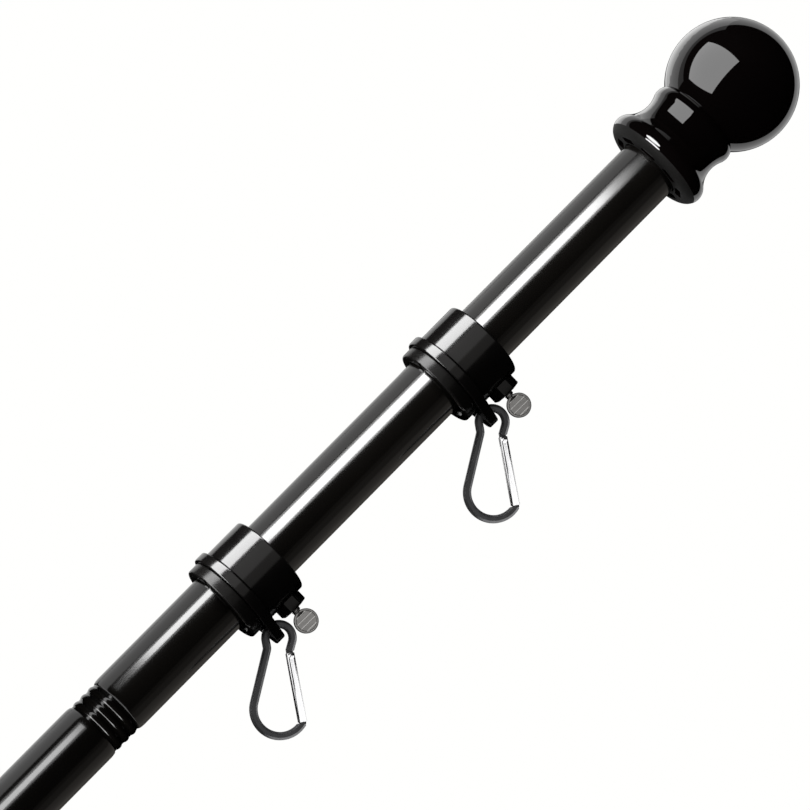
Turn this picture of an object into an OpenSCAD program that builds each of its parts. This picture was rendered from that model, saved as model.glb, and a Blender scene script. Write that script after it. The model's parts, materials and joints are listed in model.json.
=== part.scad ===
// House flagpole: five screwed tube sections with ribbed couplers, a ball finial and two
// swivelling flag rings, each with a thumb screw and a hanging snap clip.
// Millimetres, +Z up. The pole leans towards +X, with its foot face on the origin.

/* [Pole] */
// Lean of the pole away from the vertical, degrees
lean = 45; // [35:0.5:55]
// Number of tube sections
section_count = 5; // [3:1:6]
// Length of one tube section
section_length = 304.8; // [220:0.1:380]
// Outside diameter of the tube
tube_d = 25.4; // [21:0.1:31]
// Wall thickness of the tube
tube_wall = 0.8; // [0.6:0.05:1.2]
// Length of a ribbed coupler between two tubes
coupler_length = 13.2; // [11:0.1:16]

/* [Finial] */
// Diameter of the ball
ball_d = 53.7; // [44.8:0.1:64]
// Widest diameter of the flared foot of the finial
flare_d = 45.2; // [38:0.1:54]
// Height of the turned foot, from its lip to the middle of the small bulge
foot_height = 24.7; // [20.6:0.1:29.6]

/* [Flag rings] */
// Distance from the finial's lip to the upper ring's lower end
upper_ring_drop = 124.1; // [104:0.1:149]
// Distance between the two rings
ring_spacing = 120.7; // [101:0.1:145]
// Play of the collar on the tube, across both sides
collar_play = 2.1; // [1.7:0.05:2.6]
// Wall of the collar
collar_wall = 3.85; // [3.2:0.05:4.7]
// How far the swivel band stands proud of the collar
band_rim = 1.7; // [1.4:0.05:2.1]
// Thickness of the swivel band and its ear
band_thickness = 4.4; // [3.6:0.1:5.3]

/* [Thumb screw] */
// Diameter of the screw
screw_d = 3.9; // [3.2:0.05:4.7]
// Diameter of the flat round head
screw_head_d = 9.9; // [8.2:0.05:11.9]
// Width across the flats of the boss that the screw runs in
boss_w = 11.6; // [9.6:0.1:14]

/* [Snap clip] */
// Thickness of the clip's wire across its corners
wire_d = 3.5; // [2.9:0.05:4.2]
// Radius of the small hook that hangs in the ear, to the middle of the wire
hook_r = 5.4; // [4.5:0.05:6.5]
// Radius of the wide end, to the middle of the wire
bow_r = 10.5; // [8.7:0.05:12.6]
// Distance between the centres of the hook and the wide end
clip_reach = 27.8; // [23.1:0.05:33.4]

/* [Hidden] */
RINGS = ["upper", "lower"];
TUBES = [for (i = [1:section_count]) str("tube_", i)];
COUPLERS = [for (i = [1:section_count - 1]) str("coupler_", i)];
RING_PIECES = ["collar", "retainer", "swivel_band", "thumb_screw", "clip_hook", "clip_gate", "gate_rivet"];

$fn = 64;
cut = 1;             // how far a cutting shape runs past what it cuts
slip = 0.05;         // gap between a spigot and its tube, and around a turning pin

tube_r = tube_d / 2;
tube_bore_r = tube_r - tube_wall;
spigot_r = tube_bore_r - slip;
spigot_length = 18;
plug_flange = 2;     // flange of the foot plug
edge_round = 3;      // rolled-in end of each tube
pitch = section_length + coupler_length;
pole_top = plug_flange + section_count * section_length + (section_count - 1) * coupler_length;

recess_depth = 3;    // hollow under the finial that the tube end stands in
lip_z = pole_top - recess_depth;

// Couplers: three flat round beads, with the bare spigot as the groove between them
bead_count = 3;
bead_pitch = (coupler_length - 1.2) / bead_count;
bead_r = bead_pitch / 2 + 0.3;
bead_top_r = tube_r - 0.3;
coupler_bore_r = spigot_r - 3.85;

// Finial outline: small bulge on the ball's underside, waist, and flared foot with a thick lip
bulge_r = 5.3;
bulge = polar(ball_d / 2 + 0.19, -59.1);
finial_drop = foot_height - bulge[1];
lip_w = 4.2;
recess_r = flare_d / 2 - lip_w;
flare_r = 5.2;
flare_end = -acos(1 - lip_w / flare_r);
flare = [flare_d / 2 - flare_r, -finial_drop - flare_r * sin(flare_end)];
waist_r = 12.7;

// Ring: heights are measured from its lower end, the retainer's face
retainer_h = 5;
retainer_lip = 1.4;
band_gap = 0.25;
band_z = retainer_h + band_gap;
body_z = band_z + band_thickness + band_gap;
collar_bore_r = (tube_d + collar_play) / 2;
collar_r = collar_bore_r + collar_wall;
neck_r = collar_bore_r + 1.2;
retainer_r = collar_r + 0.2;
band_r = collar_r + band_rim;
notch_w = 1.6;
notch_depth = 0.5;
// The screw pushes the collar off centre until its bore meets the tube's far side
collar_shift = collar_play / 2;

// Ear of the swivel band, and the clip's pivot in the middle of its hook
wire_r = wire_d / 2;
hook_out_r = hook_r + wire_r;
hook_gap = 0.65;     // between the hook and the collar beside it
ear_mid_z = band_z + band_thickness / 2;
pivot_x = collar_r + hook_out_r + hook_gap;
ear_hole_r = wire_r + 1;
ear_hole_x = pivot_x - hook_r + 0.3;
ear_tip_r = ear_hole_r + 1.85;
ear_tip_x = pivot_x + 1.2 - ear_tip_r;

// Thumb screw and its boss: the head's edge clears the top of the clip's hook
screw_r = screw_d / 2;
screw_head_r = screw_head_d / 2;
screw_head_t = 1.8;
screw_z = ear_mid_z + hook_out_r + screw_head_r + 0.25;
ring_h = screw_z + boss_w / 2 + 2.4;
boss_top_r = collar_r + 4;
boss_chamfer = 1.6;
screw_tip_x = collar_bore_r - 2 * collar_shift + slip;
screw_head_x = boss_top_r + 1.75 + screw_head_r;

// Clip: the wire runs from the nose over the hook, down the spine and round the bow
nose_angle = -16;
spine_start = 190;
neck_length = 2.6;
kink_r = 3;
spine_lean = 14.4;
nose_length = 4;
latch_angle = -31;
gate_w = wire_d - 0.3;
gate_t = wire_d - 0.1;
hinge_gap = 0.6;     // room for the gate's corner to turn under the nose
latch_gap = 0.3;
slot_t = 1.3;
tongue_t = slot_t - 2 * slip;
rivet_r = 0.65;
rivet_head_r = 1.15;
rivet_head_t = 0.35;
rivet_drop = 2;
hang_tilt = 0.75;
wire_step = 0.02;
wire_lap = 0.3;

function polar(r, a) = [r * cos(a), r * sin(a)];

function angle_of(v) = atan2(v[1], v[0]);

// Points along an arc from angle a to angle b
function arc_points(centre, r, a, b, steps = 10) =
    [for (i = [0:steps]) centre + polar(r, a + (b - a) * i / steps)];

// Where a circle of radius r touches two circles from outside, on their right-hand side
function blend_centre(p, rp, q, rq, r) =
    let (
        d = norm(q - p),
        u = (q - p) / d,
        a = ((rp + r) * (rp + r) - (rq + r) * (rq + r) + d * d) / (2 * d),
        h = sqrt((rp + r) * (rp + r) - a * a)
    )
    p + a * u + h * [u[1], -u[0]];

// Corners of the clip's wire, in the clip's plane with the pivot at its origin
nose_top = polar(hook_r, nose_angle);
nose_end = nose_top + polar(nose_length, nose_angle - 90);
neck_top = polar(hook_r, spine_start);
neck_end = neck_top + polar(neck_length, spine_start + 90);
kink_centre = neck_end - polar(kink_r, spine_start - 180);
spine_top = kink_centre + polar(kink_r, -spine_lean);
spine_length = (clip_reach + spine_top[1] - bow_r * sin(spine_lean)) / cos(spine_lean);
spine_end = spine_top + polar(spine_length, -90 - spine_lean);
bow_centre = spine_end + polar(bow_r, -spine_lean);
latch = bow_centre + polar(bow_r, latch_angle);
gate_run = latch - nose_end;
gate_length = norm(gate_run);
gate_angle = angle_of(gate_run) + 90;

module on_pole(z) {
    rotate([0, lean, 0]) translate([0, 0, z]) children();
}

module on_ring(ring) {
    spacing = ring == "upper" ? 0 : ring_spacing;
    on_pole(lip_z - upper_ring_drop - spacing) translate([collar_shift, 0, 0]) children();
}

// The clip hangs in the plane of the pole, whatever the lean, with its weight below its pivot
module on_clip(ring) {
    on_ring(ring) translate([pivot_x, 0, ear_mid_z]) rotate([0, -lean - hang_tilt, 0]) children();
}

// The gate's own axis: its hinge end at the origin, its latch end below
module on_gate(ring) {
    on_clip(ring) translate([nose_end[0], 0, nose_end[1]]) rotate([0, -gate_angle, 0]) children();
}

module foot_plug() {
    color("black") on_pole(0) rotate_extrude() difference() {
        union() {
            polygon([[0, 0], [tube_r - 0.6, 0], [tube_r, 0.6], [tube_r, plug_flange], [0, plug_flange]]);
            square([spigot_r, plug_flange + spigot_length]);
        }
        translate([-cut, plug_flange]) square([coupler_bore_r + cut, spigot_length + cut]);
    }
}

module tube(i) {
    base = plug_flange + (i - 1) * pitch;
    end_r = tube_bore_r + 0.15;
    shoulder_r = tube_r - 0.25;
    top = section_length;
    color("black") on_pole(base) rotate_extrude() polygon([
        [tube_bore_r, 0], [end_r, 0], [shoulder_r, edge_round / 2], [tube_r, edge_round],
        [tube_r, top - edge_round], [shoulder_r, top - edge_round / 2], [end_r, top], [tube_bore_r, top]
    ]);
}

module coupler(i) {
    base = plug_flange + i * section_length + (i - 1) * coupler_length;
    color("black") on_pole(base) rotate_extrude() difference() {
        union() {
            translate([0, -spigot_length]) square([spigot_r, coupler_length + 2 * spigot_length]);
            for (k = [0:bead_count - 1]) {
                z = coupler_length / 2 + (k - (bead_count - 1) / 2) * bead_pitch;
                translate([bead_top_r - bead_r, z]) circle(bead_r);
            }
        }
        translate([-cut, -spigot_length - cut]) {
            square([coupler_bore_r + cut, coupler_length + 2 * (spigot_length + cut)]);
        }
    }
}

// A sphere on a turned foot: bulge, waist and flare run into each other, with a hollow lip below
module finial() {
    waist = blend_centre(flare, flare_r, bulge, bulge_r, waist_r);
    foot = concat(
        arc_points(bulge, bulge_r, 70, angle_of(waist - bulge)),
        arc_points(waist, waist_r, angle_of(bulge - waist), angle_of(flare - waist) + 360),
        arc_points(flare, flare_r, angle_of(waist - flare), flare_end)
    );
    floor_z = recess_depth - finial_drop;
    spigot_z = floor_z - spigot_length;
    color("black") on_pole(lip_z + finial_drop) {
        sphere(d = ball_d);
        rotate_extrude() polygon(concat(
            [[0, bulge[1] + bulge_r]], foot,
            [[recess_r - 1, floor_z], [spigot_r, floor_z], [spigot_r, spigot_z], [0, spigot_z]]
        ));
    }
}

module collar(ring) {
    color("black") on_ring(ring) difference() {
        union() {
            rotate_extrude() polygon([
                [collar_bore_r, retainer_lip], [neck_r, retainer_lip], [neck_r, body_z],
                [collar_r - 0.5, body_z], [collar_r, body_z + 0.5], [collar_r, ring_h - 0.9],
                [collar_r - 0.3, ring_h - 0.3], [collar_r - 0.9, ring_h], [collar_bore_r + 0.6, ring_h],
                [collar_bore_r, ring_h - 0.6]
            ]);
            boss();
        }
        translate([0, 0, screw_z]) rotate([0, 90, 0]) cylinder(h = boss_top_r + cut, r = screw_r + slip);
    }
}

// Eight-sided boss with a bevelled rim, reaching into the collar's wall
module boss() {
    flat = boss_w / 2;
    root_x = collar_bore_r + 1.2;
    translate([0, 0, screw_z]) rotate([0, 90, 0]) rotate([0, 0, 22.5]) {
        translate([0, 0, root_x]) {
            cylinder(h = boss_top_r - 0.8 - root_x, r = flat / cos(22.5), $fn = 8);
        }
        translate([0, 0, boss_top_r - 0.8]) {
            cylinder(h = 0.8, r1 = flat / cos(22.5), r2 = (flat - boss_chamfer) / cos(22.5), $fn = 8);
        }
    }
}

module retainer(ring) {
    color("black") on_ring(ring) difference() {
        rotate_extrude() polygon([
            [collar_bore_r + 1, 0], [retainer_r - 0.8, 0], [retainer_r, 0.8], [retainer_r, retainer_h - 0.3],
            [retainer_r - 0.3, retainer_h], [neck_r + slip, retainer_h], [neck_r + slip, retainer_lip],
            [collar_bore_r, retainer_lip], [collar_bore_r, 1]
        ]);
        for (a = [45:90:315]) {
            rotate([0, 0, a]) translate([0, -notch_w / 2, -cut]) cube([2 * collar_r, notch_w, cut + notch_depth]);
        }
    }
}

// A ring with a tangent-sided ear that the clip hangs in
module swivel_band(ring) {
    lean_in = acos((band_r - ear_tip_r) / ear_tip_x);
    root = polar(band_r, lean_in);
    tip = [ear_tip_x, 0] + polar(ear_tip_r, lean_in);
    color("black") on_ring(ring) translate([0, 0, band_z]) difference() {
        union() {
            rotate_extrude() polygon([
                [0, 0], [band_r - 0.5, 0], [band_r, 0.5], [band_r, band_thickness - 0.5],
                [band_r - 0.5, band_thickness], [0, band_thickness]
            ]);
            linear_extrude(band_thickness) {
                polygon([[0, 0], [root[0], -root[1]], [tip[0], -tip[1]], tip, root]);
                translate([ear_tip_x, 0]) circle(ear_tip_r);
            }
        }
        translate([0, 0, -cut]) cylinder(h = band_thickness + 2 * cut, r = neck_r + 0.08);
        translate([ear_hole_x, 0, -cut]) cylinder(h = band_thickness + 2 * cut, r = ear_hole_r);
    }
}

// Threaded shank, waisted neck and flat round head, all in the plane of the pole
module thumb_screw(ring) {
    neck_top_x = screw_head_x - screw_head_r + 1.2;
    color("silver") on_ring(ring) translate([0, 0, screw_z]) {
        translate([screw_tip_x, 0, 0]) rotate([0, 90, 0]) {
            cylinder(h = boss_top_r + 0.9 - screw_tip_x, r = screw_r);
        }
        translate([boss_top_r + 0.6, 0, 0]) rotate([0, 90, 0]) {
            cylinder(h = neck_top_x - boss_top_r - 0.6, r1 = screw_r - 0.1, r2 = screw_r - 0.6);
        }
        translate([screw_head_x, screw_head_t / 2, 0]) rotate([90, 0, 0]) {
            cylinder(h = screw_head_t, r = screw_head_r);
        }
    }
}

// An arc of the clip's eight-sided wire, from angle a to angle b about a centre
module wire_arc(centre, r, a, b) {
    translate([centre[0], 0, centre[1]]) rotate([90, 0, 0]) rotate([0, 0, a]) {
        rotate_extrude(angle = b - a) translate([r, 0]) rotate(22.5) circle(wire_r, $fn = 8);
    }
}

// A straight run of the wire, a hair thinner than the arcs and let into them at both ends
module wire_line(from, to) {
    run = to - from;
    translate([from[0], 0, from[1]]) rotate([0, 90 - angle_of(run), 0]) {
        translate([0, 0, -wire_lap]) rotate([0, 0, 22.5]) {
            cylinder(h = norm(run) + 2 * wire_lap, r = wire_r - wire_step, $fn = 8);
        }
    }
}

// Flat tongue that enters the slot in one end of the gate
module tongue(length) {
    translate([-gate_w / 2 + 0.3, -tongue_t / 2, -length]) cube([gate_w - 0.6, tongue_t, length + 0.8]);
}

module clip_hook(ring) {
    color("dimgray") {
        difference() {
            on_clip(ring) {
                wire_line(nose_top, nose_end + polar(1, nose_angle - 90));
                wire_arc([0, 0], hook_r, nose_angle, spine_start);
                wire_line(neck_top, neck_end);
                wire_arc(kink_centre, kink_r, -spine_lean, spine_start - 180);
                wire_line(spine_top, spine_end);
                wire_arc(bow_centre, bow_r, 180 - spine_lean, 365 + latch_angle);
            }
            // Both ends are cut square to the gate
            on_gate(ring) {
                for (z = [-2 * wire_d, -gate_length]) {
                    translate([-wire_d, -wire_d, z]) cube(2 * wire_d);
                }
            }
        }
        on_gate(ring) {
            difference() {
                tongue(3.6);
                translate([0, cut, -rivet_drop]) rotate([90, 0, 0]) cylinder(h = 2 * cut, r = rivet_r + slip / 2);
            }
            translate([0, 0, -gate_length]) rotate([0, 180, 0]) tongue(2.4);
        }
    }
}

module clip_gate(ring) {
    color("gainsboro") on_gate(ring) difference() {
        translate([0, 0, latch_gap - gate_length]) {
            linear_extrude(gate_length - latch_gap - hinge_gap) gate_outline();
        }
        translate([-gate_w, -slot_t / 2, -4.2]) cube([2 * gate_w, slot_t, 4.2 + cut]);
        translate([-gate_w, -slot_t / 2, -gate_length - cut]) cube([2 * gate_w, slot_t, 2.9 + cut]);
        translate([0, gate_t, -rivet_drop]) rotate([90, 0, 0]) cylinder(h = 2 * gate_t, r = rivet_r + slip);
    }
}

// Bevelled bar with a fine groove down the middle of each side face
module gate_outline() {
    bevel = 0.6;
    groove = 0.2;
    x = gate_w / 2;
    y = gate_t / 2;
    side = [[x, y - bevel], [x - bevel, y], [groove, y], [0, y - groove], [-groove, y], [bevel - x, y], [-x, y - bevel]];
    polygon(concat(side, [for (p = side) [-p[0], -p[1]]]));
}

module gate_rivet(ring) {
    color("gainsboro") on_gate(ring) translate([0, 0, -rivet_drop]) {
        translate([0, gate_t / 2 + slip, 0]) rotate([90, 0, 0]) cylinder(h = gate_t + 2 * slip, r = rivet_r);
        for (side = [-1, 1]) {
            translate([0, side * (gate_t / 2 + slip), 0]) rotate([-90 * side, 0, 0]) {
                cylinder(h = rivet_head_t, r1 = rivet_head_r, r2 = rivet_r);
            }
        }
    }
}

foot_plug();
for (i = [1:section_count]) {
    tube(i);
}
for (i = [1:section_count - 1]) {
    coupler(i);
}
finial();
for (ring = RINGS) {
    collar(ring);
    retainer(ring);
    swivel_band(ring);
    thumb_screw(ring);
    clip_hook(ring);
    clip_gate(ring);
    gate_rivet(ring);
}
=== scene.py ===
# %% [markdown]
# # House flagpole
# A black sectional flagpole leans at 45 degrees. It carries a ball finial and two flag rings, and each
# ring has a thumb screw and a hanging snap clip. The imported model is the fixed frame: it says where
# every piece sits and what moves. The pieces built here take those places and add the turned curves,
# rolled ends, threads and finishes.

# %% Load the frame
import json
import math

import bmesh
import bpy
from mathutils import Matrix, Vector

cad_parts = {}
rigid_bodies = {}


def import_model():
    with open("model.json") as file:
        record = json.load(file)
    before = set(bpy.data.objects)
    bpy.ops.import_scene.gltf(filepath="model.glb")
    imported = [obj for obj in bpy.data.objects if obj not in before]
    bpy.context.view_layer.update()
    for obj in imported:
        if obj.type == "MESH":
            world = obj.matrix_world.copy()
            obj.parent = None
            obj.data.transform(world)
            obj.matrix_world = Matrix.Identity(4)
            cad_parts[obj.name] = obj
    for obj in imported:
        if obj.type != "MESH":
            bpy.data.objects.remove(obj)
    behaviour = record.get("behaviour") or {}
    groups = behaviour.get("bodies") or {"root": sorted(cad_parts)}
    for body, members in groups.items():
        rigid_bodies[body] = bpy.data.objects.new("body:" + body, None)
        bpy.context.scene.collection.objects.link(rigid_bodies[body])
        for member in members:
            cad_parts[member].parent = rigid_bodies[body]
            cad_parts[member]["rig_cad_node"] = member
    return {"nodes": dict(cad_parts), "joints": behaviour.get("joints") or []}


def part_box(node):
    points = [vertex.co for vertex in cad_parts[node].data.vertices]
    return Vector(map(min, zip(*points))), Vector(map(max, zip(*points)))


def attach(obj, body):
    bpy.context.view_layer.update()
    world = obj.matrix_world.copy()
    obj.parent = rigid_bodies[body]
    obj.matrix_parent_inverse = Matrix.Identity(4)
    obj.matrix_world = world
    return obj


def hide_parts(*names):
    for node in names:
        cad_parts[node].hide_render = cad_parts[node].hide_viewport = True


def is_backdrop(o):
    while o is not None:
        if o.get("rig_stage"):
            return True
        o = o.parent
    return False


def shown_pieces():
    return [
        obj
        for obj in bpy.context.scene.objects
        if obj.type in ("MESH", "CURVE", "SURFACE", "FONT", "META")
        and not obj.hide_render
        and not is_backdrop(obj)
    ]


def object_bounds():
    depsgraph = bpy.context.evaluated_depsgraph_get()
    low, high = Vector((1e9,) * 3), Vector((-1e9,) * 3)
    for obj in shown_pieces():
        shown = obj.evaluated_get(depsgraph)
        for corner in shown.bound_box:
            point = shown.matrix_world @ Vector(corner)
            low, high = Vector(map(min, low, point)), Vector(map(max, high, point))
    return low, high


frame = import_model()
cad_box = [list(map(float, corner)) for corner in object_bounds()]
bpy.ops.object.select_all(action="DESELECT")
JOINTS = {joint["name"]: joint for joint in frame["joints"]}
MM = 0.001
print("nodes", len(frame["nodes"]), "box", cad_box)

# %% [markdown]
# ## Where things sit
# The whole pole is drawn upright with its foot on the origin, which keeps every outline simple, and is
# then leaned over by one matrix. Each ring gets its own matrix from the joint that its swivel band
# turns on, and each clip from the joint that it swings on, so the pieces land where the frame says.

# %% The pole's lean and the places of rings and clips
RINGS = ("upper", "lower")
pole_axis = Vector(JOINTS["upper_ring_slide"]["axis"]).normalized()
lean = math.atan2(pole_axis.x, pole_axis.z)
on_pole = Matrix.Rotation(lean, 4, "Y")
radial = on_pole.to_3x3() @ Vector((1, 0, 0))
band_middle = 7.45 * MM   # height of the swivel band's middle above its ring's lower end
hang_tilt = math.radians(0.75)
on_ring, on_clip, ring_height = {}, {}, {}
for ring in RINGS:
    middle = Vector(JOINTS[ring + "_band_swivel"]["pos_m"])
    along, out = middle.dot(pole_axis), middle.dot(radial)
    on_ring[ring] = on_pole @ Matrix.Translation((out, 0, along - band_middle))
    ring_height[ring] = along * 1000
    pivot = Vector(JOINTS[ring + "_clip_swing"]["pos_m"])
    on_clip[ring] = Matrix.Translation(pivot) @ Matrix.Rotation(-hang_tilt, 4, "Y")
    print(ring, "ring", round(along * 1000, 1), "mm up the pole")

# %% Sizes shared by the pieces, in millimetres
TUBE_R = 12.7
BORE_R = 11.9
SECTION = 304.8
COUPLER = 13.2
PLUG_FLANGE = 2.0
SECTIONS = 5
POLE_TOP = PLUG_FLANGE + SECTIONS * SECTION + (SECTIONS - 1) * COUPLER
LIP_OVERLAP = 3   # how far the finial's lip comes down over the tube
LIP = POLE_TOP - LIP_OVERLAP
FINIAL_DROP = 47.9
BALL_Z = LIP + FINIAL_DROP


def shift(x, y, z):
    return Matrix.Translation((x * MM, y * MM, z * MM))


def along_pole(height):
    return on_pole @ shift(0, 0, height)


print("pole", SECTIONS, "sections,", round(POLE_TOP, 1), "mm long, ball at", round(BALL_Z, 1))

# %% [markdown]
# ## Camera
# A long lens from far away keeps the two sides of the pole nearly parallel. It looks at the upper end
# of the pole from a little to the left and slightly below, so the foot runs out of view.

# %% The camera
azimuth, elevation = math.radians(-12.3), math.radians(-3.2)
to_camera = Vector((
    math.sin(azimuth) * math.cos(elevation),
    -math.cos(azimuth) * math.cos(elevation),
    math.sin(elevation),
))
to_right = Vector((math.cos(azimuth), math.sin(azimuth), 0))
to_top = to_camera.cross(to_right)
ball_centre = along_pole(BALL_Z).translation
joint_centre = along_pole(POLE_TOP - SECTION - COUPLER / 2).translation
SHIFT_LEFT, SHIFT_DOWN = 6.56, 2.79   # of the view's middle, in millimetres
target = (ball_centre + joint_centre) / 2 - to_right * SHIFT_LEFT * MM - to_top * SHIFT_DOWN * MM
DISTANCE = 3.1
VIEW_WIDTH = 0.3177

camera_data = bpy.data.cameras.new("camera")
camera_data.sensor_width = 36
camera_data.lens = camera_data.sensor_width * DISTANCE / VIEW_WIDTH
camera_data.clip_end = 50
camera = bpy.data.objects.new("camera", camera_data)
bpy.context.scene.collection.objects.link(camera)
camera.location = target + to_camera * DISTANCE
camera.rotation_euler = (-to_camera).to_track_quat("-Z", "Y").to_euler()
bpy.context.scene.camera = camera
bpy.context.scene.view_settings.view_transform = "Standard"
print("lens", round(camera_data.lens), "mm, target", [round(v, 4) for v in target])

# %% [markdown]
# ## A way to write finishes
# Every finish is a Principled shader with patterns behind its sockets. The class below wraps a node's
# output so that ordinary sums build the Math nodes, and one method makes any other node.


# %% Sums on sockets
class Wire:
    """A node's output. Sums on it add Math nodes to its material."""

    def __init__(self, finish, socket):
        self.finish, self.socket = finish, socket

    def sum(self, operation, *values):
        return self.finish.node("ShaderNodeMath", {"operation": operation}, values)

    def __add__(self, other):
        return self.sum("ADD", self, other)

    def __mul__(self, other):
        return self.sum("MULTIPLY", self, other)

    __radd__ = __add__
    __rmul__ = __mul__

    def over(self, edge, softness):
        """0 below the edge and 1 above it, with a soft step."""
        return self.finish.node(
            "ShaderNodeMapRange", {"interpolation_type": "SMOOTHSTEP"},
            {"Value": self, "From Min": edge - softness, "From Max": edge + softness},
        )


# %% A finish and its patterns
class Finish:
    """A material with a Principled shader, and the patterns that feed it."""

    def __init__(self, name, **fixed):
        self.material = bpy.data.materials.new("finish_" + name)
        self.material.use_nodes = True
        self.nodes = self.material.node_tree.nodes
        self.links = self.material.node_tree.links
        self.shader = self.nodes["Principled BSDF"]
        self.place = self.node("ShaderNodeTexCoord", out="Object")
        for socket, value in fixed.items():
            self.feed(self.shader.inputs[socket.replace("_", " ")], value)

    def feed(self, socket, value):
        """Links a pattern to a socket, or sets the socket's value."""
        if isinstance(value, Wire):
            self.links.new(value.socket, socket)
        elif socket.type == "RGBA" and len(value) == 3:
            socket.default_value = (*value, 1)
        else:
            socket.default_value = value

    def node(self, kind, settings=None, inputs=(), out=0):
        """A new node with its settings made first and its sockets fed after."""
        made = self.nodes.new(kind)
        for key, value in (settings or {}).items():
            setattr(made, key, value)
        pairs = inputs.items() if isinstance(inputs, dict) else enumerate(inputs)
        for key, value in pairs:
            self.feed(made.inputs[key], value)
        return Wire(self, made.outputs[out])

    def set(self, **changing):
        for socket, value in changing.items():
            self.feed(self.shader.inputs[socket.replace("_", " ")], value)

    def noise(self, scale, detail=3, rough=0.5, place=None):
        place = place or self.place
        inputs = {"Vector": place, "Scale": scale, "Detail": detail, "Roughness": rough}
        return self.node("ShaderNodeTexNoise", None, inputs)

    def mix(self, amount, low, high):
        settings = {"data_type": "RGBA"}
        return self.node("ShaderNodeMix", settings, {0: amount, 6: (*low, 1), 7: (*high, 1)}, out=2)

    def stretched(self, turn, scale):
        inputs = {"Vector": self.place, "Rotation": turn, "Scale": scale}
        return self.node("ShaderNodeMapping", {"vector_type": "TEXTURE"}, inputs)

    def bump(self, height, strength, distance):
        inputs = {"Height": height, "Strength": strength, "Distance": distance}
        return self.node("ShaderNodeBump", None, inputs, out="Normal")


# %% [markdown]
# ## Black finishes
# The tubes are steel with a gloss black enamel. Sprayed enamel is never quite flat: it has a fine
# orange peel and patches that are a touch duller, which spread a light's reflection into a soft
# streak. The finial is polished and far smoother, so it mirrors a light with crisp edges. The rings
# are moulded nylon, with a faint grain and a slightly satin face.

# %% Enamel, polish and moulded black
enamel = Finish("black_enamel", IOR=1.5)
patches = enamel.noise(38, 4)
peel = enamel.noise(900, 2)
enamel.set(
    Base_Color=enamel.mix(patches, (0.0008, 0.0007, 0.0006), (0.0016, 0.0014, 0.0012)),
    Roughness=0.12 + patches * 0.03,
    Normal=enamel.bump(peel, 0.015, 0.0001),
)

polish = Finish("black_gloss", IOR=1.5)
smears = polish.noise(26, 5, 0.6)
polish.set(
    Base_Color=polish.mix(smears, (0.0006, 0.0004, 0.0004), (0.0014, 0.0010, 0.0010)),
    Roughness=0.018 + smears * 0.03,
    Normal=polish.bump(polish.noise(60, 1), 0.015, 0.0004),
)

moulded = Finish("black_plastic", IOR=1.5)
cloud = moulded.noise(120, 3)
grain = moulded.noise(2600, 2)
moulded.set(
    Base_Color=moulded.mix(cloud, (0.0010, 0.0009, 0.0009), (0.0022, 0.0020, 0.0019)),
    Roughness=0.12 + cloud * 0.05,
    Normal=moulded.bump(grain, 0.04, 0.0001),
)

# %% Satin black, and the dull black under the lip that paints shade there
satin = Finish("black_satin", IOR=1.3)
pits = satin.noise(1200, 3)
satin.set(
    Base_Color=satin.mix(pits, (0.0010, 0.0009, 0.0009), (0.0030, 0.0028, 0.0026)),
    Roughness=0.18 + pits * 0.12,
    Normal=satin.bump(pits, 0.15, 0.0001),
)

# The lip's underside takes this duller, weakly reflecting black: painted shade under the lip
under_lip_shade = Finish("black_skin", IOR=1.12)
speckle = under_lip_shade.noise(1500, 3)
under_lip_shade.set(
    Base_Color=under_lip_shade.mix(speckle, (0.004, 0.0039, 0.0038), (0.008, 0.0078, 0.0076)),
    Roughness=0.5 + speckle * 0.15,
    Normal=under_lip_shade.bump(speckle, 0.2, 0.0001),
)

# %% [markdown]
# ## Metal finishes
# The clip's wire is aluminium with a dark grey anodised skin that is a little paler where it is
# rubbed. Its gate is bright drawn aluminium with fine marks along its length, and the thumb screw is
# zinc plated steel with short brush marks. The marks are noise that is stretched along the metal.

# %% Anodised grey, bright aluminium and zinc plate
wire_grey = Finish("grey_anodised", Metallic=0.75, IOR=1.45)
drawn = wire_grey.noise(420, 3, 0.5, wire_grey.stretched((0, 0, 0), (1, 1, 6)))
wire_grey.set(
    Base_Color=wire_grey.mix(drawn.over(0.5, 0.3), (0.075, 0.075, 0.077), (0.105, 0.105, 0.108)),
    Roughness=0.3 + drawn * 0.1,
    Normal=wire_grey.bump(drawn, 0.04, 0.0001),
)

bright = Finish("bright_aluminium", Metallic=1.0)
lines = bright.noise(700, 2, 0.5, bright.stretched((0, math.radians(-10), 0), (1, 1, 40)))
bright.set(
    Base_Color=bright.mix(lines, (0.86, 0.86, 0.87), (0.95, 0.95, 0.95)),
    Roughness=0.15 + lines * 0.04,
    Normal=bright.bump(lines, 0.006, 0.0001),
)

zinc = Finish("zinc_steel", Metallic=1.0)
brushed = zinc.noise(1000, 2, 0.5, zinc.stretched((0, math.radians(70), 0), (1, 1, 12)))
zinc.set(
    Base_Color=zinc.mix(brushed.over(0.5, 0.35), (0.24, 0.235, 0.225), (0.33, 0.32, 0.31)),
    Roughness=0.34 + brushed * 0.1,
    Normal=zinc.bump(brushed, 0.04, 0.0001),
)
# A lighter zinc for the tops of the head's ribs: a painted highlight that draws light stripes across
# the head
worn_zinc = Finish("worn_zinc", Metallic=1.0)
rib_highlight_tone = worn_zinc.noise(1000, 2)
worn_zinc.set(
    Base_Color=worn_zinc.mix(rib_highlight_tone, (0.55, 0.54, 0.52), (0.75, 0.74, 0.72)),
    Roughness=0.35 + rib_highlight_tone * 0.1,
)
print("finishes", [m.name for m in bpy.data.materials if m.name.startswith("finish_")])

# %% [markdown]
# ## Tools of the bench
# Most of the pieces are turned, so they start as a line of corners that is extruded point by point and
# then spun about the pole's axis. The helpers below do that, and cut, fuse, smooth and place pieces.


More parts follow.
